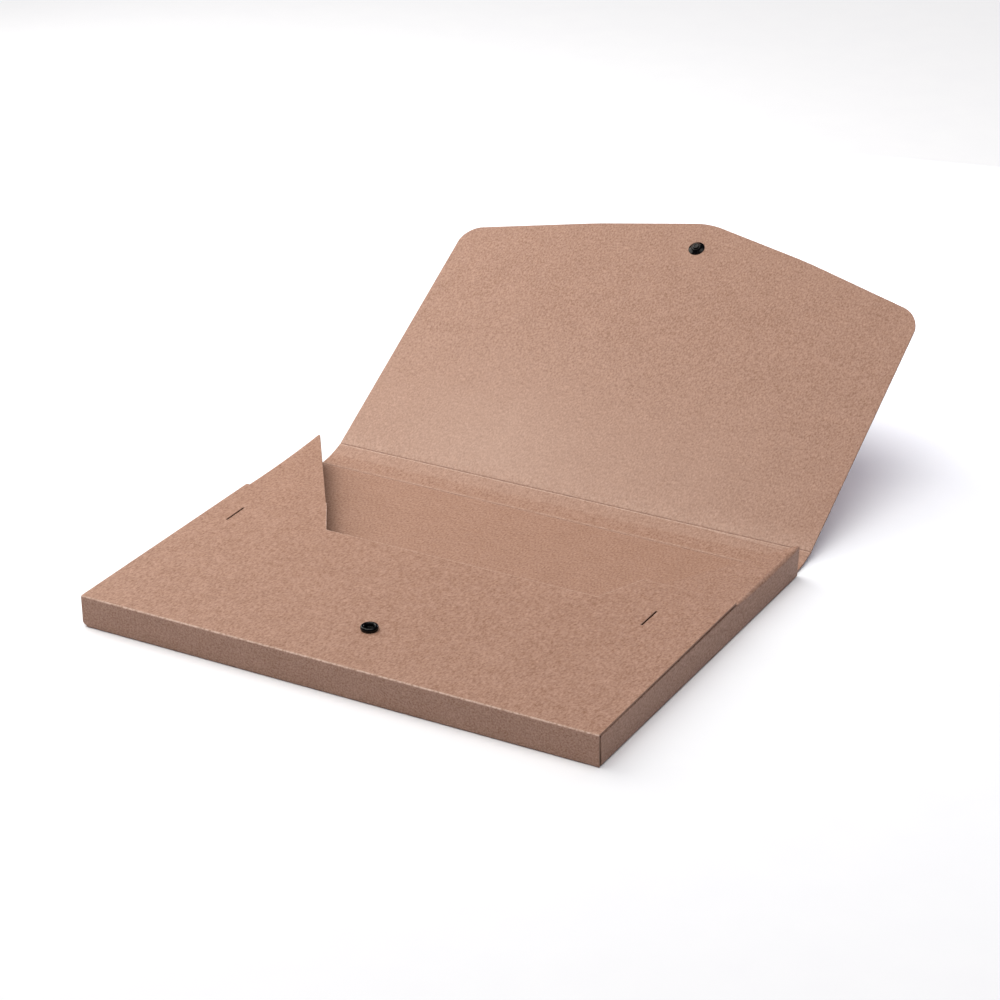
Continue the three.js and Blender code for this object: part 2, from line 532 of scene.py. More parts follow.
class CardSkin:
    """One face of a piece of card, grown row by row and then given its thickness.

    A row is a chain of edges across the piece. Rows are extruded or spun into the next one, and a flat
    panel may follow the last. The skin faces up at its last row, and the card lies behind it.
    """

    CORNER_STEPS = 12
    RIM_STEPS = 2
    LIP_SHADE = 0.8

    def __init__(self, places: Sequence[Vector]) -> None:
        """Lays the first row.

        Args:
            places: the row's points in order.
        """
        self.mesh = bmesh.new()
        self.wear, self.score, self.bloom_and_sheen = map(self.mesh.verts.layers.float.new, (WEAR_AND_HIGHLIGHT, SCORE, BLOOM_AND_SHEEN))
        self.row = [self.mesh.verts.new(place) for place in places]
        for pair in zip(self.row, self.row[1:]):
            self.mesh.edges.new(pair)

    @property
    def row_edges(self) -> list[BMEdge]:
        """The last row's edges in order."""
        return [self.mesh.edges.get(pair) for pair in zip(self.row, self.row[1:])]

    def run(
        self,
        places: Sequence[Vector],
        curved: bool | Sequence[bool] = False,
        wear: float | Sequence[float] = 0.0,
        score: float | Sequence[float] = 0.0,
        bloom_and_sheen: float | Sequence[float] = 0.0,
    ) -> None:
        """Extrudes the last row to new places.

        Each of the marks is from 0 to 1, for the whole row or for each of its points.

        Args:
            places: the new row's points in order.
            curved: whether the strip is part of a curve, for all its faces or for each.
            wear: how pale wear, painted highlights and painted light make the card at the new row.
            score: how dark burnish and painted shade make it there.
            bloom_and_sheen: how pale a painted sheen, with some flexing, makes it there.
        """
        grown = bmesh.ops.extrude_edge_only(self.mesh, edges=self.row_edges)["geom"]
        new = {part for part in grown if isinstance(part, BMVert)}
        self.row = [
            next(edge.other_vert(vert) for edge in vert.link_edges if edge.other_vert(vert) in new)
            for vert in self.row
        ]
        marks = (for_each(mark, len(self.row)) for mark in (wear, score, bloom_and_sheen))
        for vert, place, worn_and_lit, burnished_and_shaded, pale in zip(self.row, places, *marks):
            vert.co = place
            vert[self.wear], vert[self.score], vert[self.bloom_and_sheen] = worn_and_lit, burnished_and_shaded, pale
        edges = self.row_edges
        for edge, smooth in zip(edges, for_each(curved, len(edges))):
            for face in edge.link_faces:
                face.smooth = smooth

    def fold(self, centre: Vector, angle: float, steps: int, wear: float = 0.0) -> None:
        """Spins the last row, which lies along X, into a round fold about X.

        Args:
            centre: a point on the fold's axis.
            angle: the turn, in radians about +X.
            steps: how many strips the fold gets.
            wear: how much wear the middle of the fold has, from 0 to 1.
        """
        old_verts, old_faces = set(self.mesh.verts), set(self.mesh.faces)
        start = (self.row[0].co - centre).yz
        last = bmesh.ops.spin(
            self.mesh, geom=self.row_edges, cent=centre, axis=(1.0, 0.0, 0.0),
            angle=angle, steps=steps, use_merge=False,
        )["geom_last"]
        self.row = sorted((part for part in last if isinstance(part, BMVert)), key=lambda vert: vert.co.x)
        for vert in set(self.mesh.verts) - old_verts:
            share = start.angle((vert.co - centre).yz) / abs(angle)
            vert[self.wear] = wear * math.sin(math.pi * share) ** 2
        for face in set(self.mesh.faces) - old_faces:
            face.smooth = True

    def panel(self, corners: Sequence[Corner], holes: Sequence[Hole] = (), margin: float = 0.0) -> None:
        """Adds a flat panel after the last row.

        Args:
            corners: the outline from the row's last point round to its first.
            holes: the panel's holes.
            margin: the width of a strip along the edges, which keeps their wear out of the middle.
        """
        first, last = self.row[0], self.row[-1]
        places = [last.co.copy(), *(corner.place for corner in corners), first.co.copy()]
        verts = [self.mesh.verts.new(corner.place) for corner in corners]
        chain = [last, *verts, first]
        row_edges = self.row_edges
        for pair in zip(chain, chain[1:]):
            self.mesh.edges.new(pair)
        for corner, vert, before, after in zip(corners, verts, places, places[2:]):
            if corner.radius:
                round_off(self.mesh, vert, corner.cut(before, after), self.CORNER_STEPS)
        for hole in holes:
            bmesh.ops.create_circle(self.mesh, radius=1.0, segments=hole.sides, matrix=hole.place)
        outline = [*row_edges, *(edge for edge in self.mesh.edges if edge.is_wire)]
        normal = (last.co - first.co).cross(places[1] - places[0]).normalized()
        filled = bmesh.ops.triangle_fill(self.mesh, use_beauty=True, edges=outline, normal=normal)["geom"]
        if margin:
            faces = [part for part in filled if isinstance(part, BMFace)]
            bmesh.ops.inset_region(
                self.mesh, faces=faces, thickness=margin, use_boundary=True, use_even_offset=True
            )

    def thicken(self, thickness: float) -> None:
        """Gives the card its thickness behind the skin and marks the cut edges.

        Args:
            thickness: the card's thickness.
        """
        bmesh.ops.recalc_face_normals(self.mesh, faces=self.mesh.faces)
        if self.row_edges[-1].link_faces[0].normal.z < 0:
            bmesh.ops.reverse_faces(self.mesh, faces=self.mesh.faces)
        sheet = set(self.mesh.faces)
        grown = bmesh.ops.solidify(self.mesh, geom=list(self.mesh.faces), thickness=thickness)["geom"]
        sheet.update(part for part in grown if isinstance(part, BMFace))
        for face in set(self.mesh.faces) - sheet:
            face.material_index = Face.CUT_EDGE.value
            face.smooth = False
            for edge in face.edges:
                edge.smooth = False

    def ease(self, width: float, is_seam: Callable[[Vector], bool]) -> list[BMVert]:
        """Rounds the rims of the cut edges, with a lip that the cutting's burnish darkened.

        Args:
            width: how far the round reaches from the rim.
            is_seam: tells the points where the card runs on into the next piece.

        Returns:
            The points of the rounded rims.
        """
        rims = [
            edge
            for edge in self.mesh.edges
            if len({face.material_index for face in edge.link_faces}) == len(Face)
            and not all(is_seam(vert.co) for vert in edge.verts)
        ]
        eased = bmesh.ops.bevel(
            self.mesh, geom=rims, offset=width, offset_type="OFFSET", clamp_overlap=True,
            affect="EDGES", segments=self.RIM_STEPS, profile=0.5, material=-1,
        )
        faces = set(eased["faces"])
        for face in faces:
            face.smooth = True
        for vert in eased["verts"]:
            if faces.issuperset(vert.link_faces):
                vert[self.score] = self.LIP_SHADE
        return eased["verts"]


@dataclass(frozen=True)
class TrayPlan:
    """Places of the tray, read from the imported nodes."""

    half_width: float
    front: float
    side_end: float
    top: float
    panel_end: float
    tuck_top: float
    tuck_inner: float
    card: float
    bottom_fold: float = 1.2 * MM
    corner_relief: float = 2.4 * MM

    @classmethod
    def from_frame(cls) -> "TrayPlan":
        """Reads the tray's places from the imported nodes.

        Returns:
            The plan, with Y at the bottom wall negative.
        """
        back_low, back_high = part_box("back_panel")
        panel_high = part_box("front_panel")[1]
        tuck_low, tuck_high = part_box("right_tuck_flap")
        return cls(
            half_width=back_high.x,
            front=back_low.y,
            side_end=tuck_high.y,
            top=panel_high.z,
            panel_end=panel_high.y,
            tuck_top=tuck_high.z,
            tuck_inner=tuck_low.x,
            card=back_high.z - back_low.z,
        )

    @property
    def back_side(self) -> float:
        """Half the width of the back panel between the folds of the side walls."""
        return self.half_width - self.bottom_fold

    def on_floor(self, place: Vector) -> bool:
        """Tells the back panel's points, which lie below one and a half thicknesses of card."""
        return place.z < 1.5 * self.card


@dataclass(frozen=True)
class LidPlan:
    """The lid's inner face, unrolled from the lower crease over the upper one.

    The spine's card springs into a shallow arc between its two creases.
    """

    lower: Vector
    upper: Vector
    flap_lift: float = math.radians(29.4)
    spring: float = math.radians(9.5)
    left_edge: float = -161.75 * MM
    right_edge: float = 163 * MM
    seam_from_crease: float = 4.65 * MM

    @classmethod
    def from_frame(cls) -> "LidPlan":
        """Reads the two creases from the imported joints."""
        axes = {joint["name"]: Vector(joint["pos_m"]) for joint in frame["joints"]}
        return cls(axes["spine_fold"], axes["flap_fold"])

    @property
    def back_seam(self) -> float:
        """Y where the back panel runs on into the lid's piece of card."""
        return self.lower.y - self.seam_from_crease

    @property
    def spine_length(self) -> float:
        """Distance between the two creases."""
        return (self.upper - self.lower).length

    def point(self, across: float, along: float, lift: float = 0.0) -> Vector:
        """Places a point of the unrolled lid in the frame.

        Args:
            across: the point's X.
            along: its distance from the lower crease, negative on the back panel.
            lift: its height above the inner face.

        Returns:
            The point at rest.
        """
        rise = self.upper - self.lower
        if along <= 0:
            origin, slope = self.lower + Vector((0.0, along, 0.0)), 0.0
        elif along <= self.spine_length:
            start = math.atan2(rise.z, rise.y) - self.spring
            slope = start + 2 * self.spring * along / self.spine_length
            radius = self.spine_length / 2 / math.sin(self.spring)
            bow = Vector((0.0, math.sin(slope) - math.sin(start), math.cos(start) - math.cos(slope)))
            origin = self.lower + radius * bow
        else:
            slope, run = self.flap_lift, along - self.spine_length
            origin = self.upper + run * Vector((0.0, math.cos(slope), math.sin(slope)))
        normal = Vector((0.0, -math.sin(slope), math.cos(slope)))
        return origin + lift * normal + Vector((across, 0.0, 0.0))

    def flap_place(self, along: float) -> Matrix:
        """The flap's own axes at a distance from the upper crease."""
        place = self.point(0.0, self.spine_length + along)
        return Matrix.Translation(place) @ Matrix.Rotation(self.flap_lift, 4, "X")

    def past_seam(self, place: Vector) -> float:
        """How far a point lies past the plane across the middle of the spine."""
        middle = self.point(0.0, self.spine_length / 2)
        return (place - middle).dot((self.upper - self.lower).normalized())


@dataclass(frozen=True)
class Crease:
    """Score line of the lid: a shallow pressed groove that the card folds at."""

    width: float = 1.3 * MM
    floor: float = 0.5 * MM
    depth: float = 0.26 * MM
    reach: float = 1.0 * MM
    # Painted shade darkens the groove's floor, on top of its burnish.
    shade: float = 0.6
    # The lip and flex values are painted highlights on the groove's lips and painted light on the card past
    # it, on top of wear.
    lip_wear_and_highlight: float = 0.0
    near_wear_and_highlight: float = 0.75
    far_wear_and_highlight: float = 0.35
    flex_wear_and_light: float = 0.22

    def rows(self) -> list[tuple[float, float, float, float]]:
        """Lists the groove's rows.

        Returns:
            Each row's distance from the axis, lift, wear (with painted highlights and painted light) and shade
            (burnish and painted shade).
        """
        return [
            (-self.reach, 0.0, self.lip_wear_and_highlight, 0.0),
            (-self.width / 2, 0.0, self.near_wear_and_highlight, 0.0),
            (-self.floor / 2, -self.depth, 0.0, self.shade),
            (self.floor / 2, -self.depth, 0.0, self.shade),
            (self.width / 2, 0.0, self.far_wear_and_highlight, 0.0),
            (self.reach, 0.0, self.flex_wear_and_light, 0.0),
        ]


@dataclass
class CardPiece:
    """Piece of the folded blank, which is dressed in board with die-cut edges."""

    tray: TrayPlan

    EDGE_BREAK: ClassVar[float] = 0.25 * MM
    PIN_HOLE: ClassVar[float] = 1.5 * MM

    def dress(self, skin: CardSkin, finishes: Finishes, name: str, *nodes: str) -> Object:
        """Makes a finished skin a piece of card.

        Args:
            skin: the skin, with its thickness and its eased rims.
            finishes: the materials.
            name: the piece's name.
            nodes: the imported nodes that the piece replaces.

        Returns:
            The piece, which rides on nothing yet.
        """
        piece = make_object(name, skin.mesh, (finishes.board, finishes.cut_edge))
        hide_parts(*nodes)
        return piece


@dataclass
class FoldedWrap(CardPiece):
    """Back panel, bottom wall and front panel: one run of card round two folds."""

    lid: LidPlan
    top_fold: float = 1.15 * MM
    fold_steps: int = 8
    corner_steps: int = 4
    wear: float = 1.0
    wall_inset: float = 0.15 * MM
    taper_left: float = 0.9 * MM
    taper_right: float = 1.3 * MM
    panel_corner: float = 1.0 * MM
    margin: float = 0.6 * MM
    notch_depth: float = 30.5 * MM
    notch_top_left: float = -106.7 * MM
    notch_top_right: float = 105 * MM
    notch_bottom_left: float = -87.5 * MM
    notch_bottom_right: float = 92 * MM
    notch_corner: float = 1.5 * MM
    notch_reach: float = 107 * MM
    notch_wear: float = 1.0
    slit_half_width: float = 0.6 * MM
    slit_half_length: float = 9.2 * MM
    slit_places: tuple[tuple[float, float], ...] = ((-147 * MM, 128.5 * MM), (129 * MM, 126.5 * MM))

    def build(self, finishes: Finishes, snap: Vector) -> Object:
        """Builds the piece.

        Args:
            finishes: the materials.
            snap: the snap's place on the front panel.

        Returns:
            The piece, riding on the case.
        """
        tray = self.tray

        def is_seam(place: Vector) -> bool:
            """Tells the back panel's rims, which run on into the side cards and the lid."""
            beside = tray.on_floor(place) and abs(place.x) > tray.back_side - TOLERANCE
            return beside or place.y > self.lid.back_seam - TOLERANCE

        skin = self._wrapped_skin()
        self._front_panel(skin, snap)
        skin.thicken(tray.card)
        self._wear_notch(skin, skin.ease(self.EDGE_BREAK, is_seam))
        piece = self.dress(skin, finishes, "wrap_card", "back_panel", "bottom_wall", "front_panel")
        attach(piece, Body.CASE.value)
        return piece

    def _wear_notch(self, skin: CardSkin, rims: Sequence[BMVert]) -> None:
        """Rubs the upper lip of the finger notch pale.

        Args:
            skin: the finished card.
            rims: the points of its rounded rims.
        """
        floor, reach = self.tray.panel_end - self.notch_depth, 2 * self.EDGE_BREAK
        for vert in rims:
            x, y, z = vert.co
            if z > self.tray.top - self.EDGE_BREAK and y > floor - reach and abs(x) < self.notch_reach:
                vert[skin.score] = 0.0
                vert[skin.wear] = self.notch_wear

    def _wrapped_skin(self) -> CardSkin:
        """Grows the outer skin from the seam to the front panel's first row.

        Returns:
            The skin.
        """
        tray, back = self.tray, self.tray.back_side
        wall = tray.half_width - self.wall_inset
        foot = back - tray.bottom_fold
        low, high = tray.bottom_fold, tray.top - self.top_fold

        def row(left: float, right: float, y: float, z: float) -> list[Vector]:
            """Gives the two ends of a row across the whole width."""
            return [Vector((-left, y, z)), Vector((right, y, z))]

        skin = CardSkin(row(back, back, self.lid.back_seam, 0.0))
        skin.run(row(back, back, tray.front + tray.corner_relief, 0.0))
        skin.run(row(foot, wall, tray.front + low, 0.0))
        skin.fold(Vector((0.0, tray.front + low, low)), -math.pi / 2, self.fold_steps)
        for angle in spread(0.0, math.pi / 2, self.corner_steps):
            half_width = foot + (wall - foot) * math.sin(angle)
            skin.run(row(half_width, wall, tray.front, low + tray.corner_relief * (1 - math.cos(angle))))
        skin.run(row(wall, wall, tray.front, high))
        skin.fold(Vector((0.0, tray.front + self.top_fold, high)), -math.pi / 2, self.fold_steps, self.wear)
        return skin

    def _front_panel(self, skin: CardSkin, snap: Vector) -> None:
        """Adds the front panel with its finger notch, lock slits and pin hole.

        Args:
            skin: the skin that ends at the panel's first row.
            snap: the snap's place on the front panel.
        """
        tray = self.tray
        end, floor = tray.panel_end, tray.panel_end - self.notch_depth
        outline = (
            (tray.half_width - self.taper_right, end, self.panel_corner),
            (self.notch_top_right, end, self.notch_corner),
            (self.notch_bottom_right, floor, self.notch_corner),
            (self.notch_bottom_left, floor, self.notch_corner),
            (self.notch_top_left, end, self.notch_corner),
            (self.taper_left - tray.half_width, end, self.panel_corner),
        )
        corners = [Corner(Vector((x, y, tray.top)), radius) for x, y, radius in outline]
        middles = [Vector((x, tray.front + from_front, tray.top)) for x, from_front in self.slit_places]
        holes = [Hole.slit(middle, self.slit_half_width, self.slit_half_length) for middle in middles]
        holes.append(Hole(Matrix.Translation((snap.x, snap.y, tray.top)) @ Matrix.Scale(self.PIN_HOLE, 4)))
        skin.panel(corners, holes, self.margin)


@dataclass
class SideFold(CardPiece):
    """Side wall with its tuck flap: card that turns up from the back panel and rolls over at the top.

    Sections across the wall run from front to back. The roll is tight under the front panel and slack
    behind it, and the free tip of the tuck flap stands up a little.
    """

    hand: Hand
    diagonal_run: float
    inner_inset: float
    tip_lean: float
    tip_rise: float
    cover_lean: float
    corner_gap: float
    front_recess: float
    tight_roll: float = 0.9 * MM
    slack_roll: float = 2.4 * MM
    tip_roll: float = 1.2 * MM
    sag: float = 0.8 * MM
    fold_steps: int = 8
    tip_steps: int = 10
    flap_inset: float = 3 * MM
    front_chamfer: float = 12 * MM

    def build(self, finishes: Finishes) -> Object:
        """Builds the piece.

        Args:
            finishes: the materials.

        Returns:
            The piece, riding on the case.
        """
        tray, side = self.tray, self.hand.name.lower()

        def is_seam(place: Vector) -> bool:
            """Tells the rim that runs on into the back panel."""
            return tray.on_floor(place) and abs(place.x) < tray.back_side + TOLERANCE

        skin = CardSkin(self._front_section())
        for y in (tray.side_end - self.diagonal_run, tray.panel_end):
            skin.run(self._section(y), self._curved_spans())
        for y in spread(tray.panel_end, tray.side_end, self.tip_steps):
            skin.run(self._section(y), self._curved_spans(bent=True))
        skin.thicken(tray.card)
        skin.ease(self.EDGE_BREAK, is_seam)
        piece = self.dress(skin, finishes, f"{side}_side_card", f"{side}_wall", f"{side}_tuck_flap")
        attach(piece, Body.CASE.value)
        return piece

    def _curved_spans(self, bent: bool = False) -> list[bool]:
        """Tells which spans of a section are curved, with the wall and tuck flap too where bent."""
        arc = [True] * self.fold_steps
        return [*arc, bent, bent, *arc, bent, bent]

    def _section(self, y: float) -> list[Vector]:
        """Lists a section's points from the back panel up the wall and over to the tuck flap's inner edge.

        Args:
            y: where the section is.

        Returns:
            The points.
        """
        tray, fold = self.tray, self.tray.bottom_fold
        covered = min(1.0, (y - tray.front) / (tray.panel_end - tray.front))
        free = max(0.0, (y - tray.panel_end) / (tray.side_end - tray.panel_end))
        slack = (self.slack_roll - self.tight_roll) * 4 * free * (1 - free)
        roll = self.tight_roll + (self.tip_roll - self.tight_roll) * free + slack
        top = tray.tuck_top - self.sag * (covered * (1 - free)) ** 2 + self.tip_rise * free**2
        lean = self.tip_lean * free**2 + self.cover_lean * covered**2 * (1 - free) ** 2
        angles = spread(0.0, math.pi / 2, self.fold_steps)
        quarter = [(math.sin(angle), math.cos(angle)) for angle in angles]
        inner = self._inner_edge(y)
        chamfered = max(inner - self.front_chamfer, (lean + roll + inner) / 2)
        points = [
            (fold, 0.0),
            *((fold * (1 - sine), fold * (1 - cosine)) for sine, cosine in quarter),
            (0.0, fold + tray.corner_relief / 2),
            (lean, top - roll),
            *((lean + roll * (1 - cosine), top - roll * (1 - sine)) for sine, cosine in quarter),
            (chamfered, top),
            (inner, top),
        ]
        return [Vector((self.hand.value * (tray.half_width - inwards), y, z)) for inwards, z in points]

    def _inner_edge(self, y: float) -> float:
        """How far inwards the tuck flap reaches, with its long diagonal towards the tip.

        Args:
            y: where it is measured.

        Returns:
            The distance from the side's outer face.
        """
        tray = self.tray
        wide = tray.half_width - tray.tuck_inner - self.inner_inset
        narrow = self.tip_lean + self.tip_roll + tray.card / 2
        past = max(0.0, (y - tray.side_end + self.diagonal_run) / self.diagonal_run)
        return wide + (narrow - wide) * past

    def _front_section(self) -> list[Vector]:
        """Lists the first section, cut back at the bottom fold and along the tuck flap's front edge.

        Returns:
            The points.
        """
        tray, steps = self.tray, self.fold_steps
        points = self._section(tray.front)
        for point in points[: steps + 1]:
            point.y += tray.corner_relief
        for point in points[steps + 1 :]:
            point.y += self.front_recess
        points[steps + 1].y += self.corner_gap
        for point, share in zip(points[-steps - 2 : -2], spread(0.0, 1.0, steps)):
            point.y += share * (self.flap_inset - self.front_recess) / 2
        points[-2].y = tray.front + self.flap_inset
        points[-1].y = tray.front + self.flap_inset + self.front_chamfer
        return points


@dataclass
class SpineCard(CardPiece):
    """Back edge of the back panel, the lower crease and the near half of the spine."""

    lid: LidPlan
    crease: Crease
    curve_steps: int = 6

    def build(self, finishes: Finishes) -> Object:
        """Builds the piece.

        Args:
            finishes: the materials.

        Returns:
            The piece, which bends between the case and the spine.
        """
        lid, reach, back = self.lid, self.crease.reach, self.tray.back_side

        def row(along: float, lift: float = 0.0) -> list[Vector]:
            """Gives the two ends of a row across the whole width."""
            edges = (-back, back) if along < 0 else (lid.left_edge, lid.right_edge)
            return [lid.point(x, along, lift) for x in edges]

        def is_seam(place: Vector) -> bool:
            """Tells the rims that run on into the back panel and the flap's piece of card."""
            return place.y < lid.back_seam + TOLERANCE or lid.past_seam(place) > -TOLERANCE

        skin = CardSkin(row(-lid.seam_from_crease))
        # Crease rows: painted highlights on the lips and painted shade in the groove, on top of wear and
        # burnish.
        for run, lift, wear, shade in self.crease.rows():
            skin.run(row(run, lift), run > -reach, wear, shade)
        for along in spread(reach, lid.spine_length / 2, self.curve_steps):
            skin.run(row(along), True)
        skin.thicken(self.tray.card)
        # The ridge behind the crease is pressed flat where the case rests on it.
        for vert in skin.mesh.verts:
            vert.co.z = max(vert.co.z, 0.0)
        skin.ease(self.EDGE_BREAK, is_seam)
        piece = self.dress(skin, finishes, "spine_card", "spine")
        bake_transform(piece, Body.CASE.value, Body.SPINE.value, lid.point(0.0, -reach), lid.point(0.0, reach))
        return piece


@dataclass
class FlapCard(CardPiece):
    """Far half of the spine, the upper crease and the closing flap with its shallow pointed end.

    A second, stray fold line leaves the crease towards the right end of the spine, and ends in a nick.
    """

    lid: LidPlan
    crease: Crease
    curve_steps: int = 3
    stray_start: float = 85 * MM
    stray_gap: float = 1.5 * MM
    stray_fall: float = 4.6 * MM
    stray_half_width: float = 0.3 * MM
    stray_depth: float = 0.18 * MM
    stray_shade: float = 0.7
    nick_depth: float = 1.6 * MM
    # Painted sheen pales the spine and the flap's foot, partly standing for card gone pale from flexing.
    spine_bloom_and_sheen: float = 0.08
    # The flap's foot is painted pale: painted sheen with some flexing, and painted light near the crease.
    # Rows: distance from the crease, wear and bloom_and_sheen.
    flexed_and_sheen: tuple[tuple[float, float, float], ...] = (
        (5 * MM, 0.18, 0.16),
        (16 * MM, 0.0, 0.27),
        (40 * MM, 0.0, 0.22),
        (70 * MM, 0.0, 0.12),
        (105 * MM, 0.0, 0.045),
        (140 * MM, 0.0, 0.0),
    )
    # The painted sheen's share at the left edge, its peak, the middle, the stray fold's start and the right
    # edge.
    bloom_and_sheen_peak: float = -60 * MM
    bloom_and_sheen_shares: tuple[float, ...] = (0.42, 1.0, 0.66, 0.45, 0.0)
    side_left: float = 185 * MM
    side_right: float = 183.8 * MM
    end_half_width: float = 161.75 * MM
    end_corner_left: float = 15.5 * MM
    end_corner_right: float = 18 * MM
    shoulder_half_width: float = 75 * MM
    shoulder: float = 208.4 * MM
    shoulder_radius: float = 300 * MM
    apex: float = 224.6 * MM
    apex_radius: float = 40 * MM

    def build(self, finishes: Finishes, snap_along: float) -> Object:
        """Builds the piece.

        Args:
            finishes: the materials.
            snap_along: the snap's distance from the upper crease.

        Returns:
            The piece, which bends between the spine and the flap.
        """
        lid = self.lid
        skin = self._creased_skin()
        self._flap_panel(skin, snap_along)
        skin.thicken(self.tray.card)
        skin.ease(self.EDGE_BREAK, lambda place: lid.past_seam(place) < TOLERANCE)
        piece = self.dress(skin, finishes, "flap_card", "flap")
        reach = self.crease.reach
        start, end = (lid.point(0.0, lid.spine_length + run) for run in (-reach, reach))
        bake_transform(piece, Body.SPINE.value, Body.FLAP.value, start, end)
        return piece

    def _creased_skin(self) -> CardSkin:
        """Grows the far half of the spine, the stray fold, the upper crease and the flap's foot.

        Returns:
            The skin.
        """
        lid, wide, crease = self.lid, self.lid.right_edge, self.lid.spine_length
        stations = (lid.left_edge, self.bloom_and_sheen_peak, 0.0, self.stray_start, wide)
        stray = crease - self.stray_fall

        def row(along: float, lift: float = 0.0) -> list[Vector]:
            """Gives the points of a row across the whole width."""
            return [lid.point(x, along, lift) for x in stations]

        skin = CardSkin(row(crease / 2))
        for along in spread(crease / 2, stray - 2 * self.stray_half_width, self.curve_steps):
            skin.run(row(along), True, bloom_and_sheen=self.spine_bloom_and_sheen)
        for side in (-1, 0, 1):
            offset, marked = side * self.stray_half_width, side == 0
            near = row(crease - self.stray_gap + offset)[:-1]
            end = lid.point(wide - marked * self.nick_depth, stray + offset, -marked * self.stray_depth)
            score = [*(0.0 for _ in near), marked * self.stray_shade]
            skin.run([*near, end], True, score=score, bloom_and_sheen=self.spine_bloom_and_sheen)
        # Crease rows: painted highlights on the lips, pale at the left end and none at the right, and painted
        # shade in the groove.
        for run, lift, wear, shade in self.crease.rows():
            lip = [*(wear for _ in near), wear * (run > -self.crease.reach)]
            skin.run(row(crease + run, lift), True, lip, shade, self.spine_bloom_and_sheen)
        for along, wear, bloom_and_sheen in self.flexed_and_sheen:
            places = row(crease + along)
            places[-1].x += (self.end_half_width - wide) * along / self.side_right
            skin.run(places, False, wear, bloom_and_sheen=[bloom_and_sheen * share for share in self.bloom_and_sheen_shares])
        return skin

    def _flap_panel(self, skin: CardSkin, snap_along: float) -> None:
        """Adds the flap with its rounded corners, shallow point and pin hole.

        Args:
            skin: the skin that ends past the upper crease.
            snap_along: the snap's distance from the upper crease.
        """
        lid = self.lid
        outline = (
            (self.end_half_width, self.side_right, self.end_corner_right),
            (self.shoulder_half_width, self.shoulder, self.shoulder_radius),
            (0.0, self.apex, self.apex_radius),
            (-self.shoulder_half_width, self.shoulder, self.shoulder_radius),
            (-self.end_half_width, self.side_left, self.end_corner_left),
        )
        corners = [Corner(lid.point(x, lid.spine_length + y), radius) for x, y, radius in outline]
        skin.panel(corners, [Hole(lid.flap_place(snap_along) @ Matrix.Scale(self.PIN_HOLE, 4))])


@dataclass(frozen=True)
class Ring:
    """One corner of a turned profile: radius, height and rounding, in millimetres."""

    radius: float
    height: float
    rounding: float = 0.0


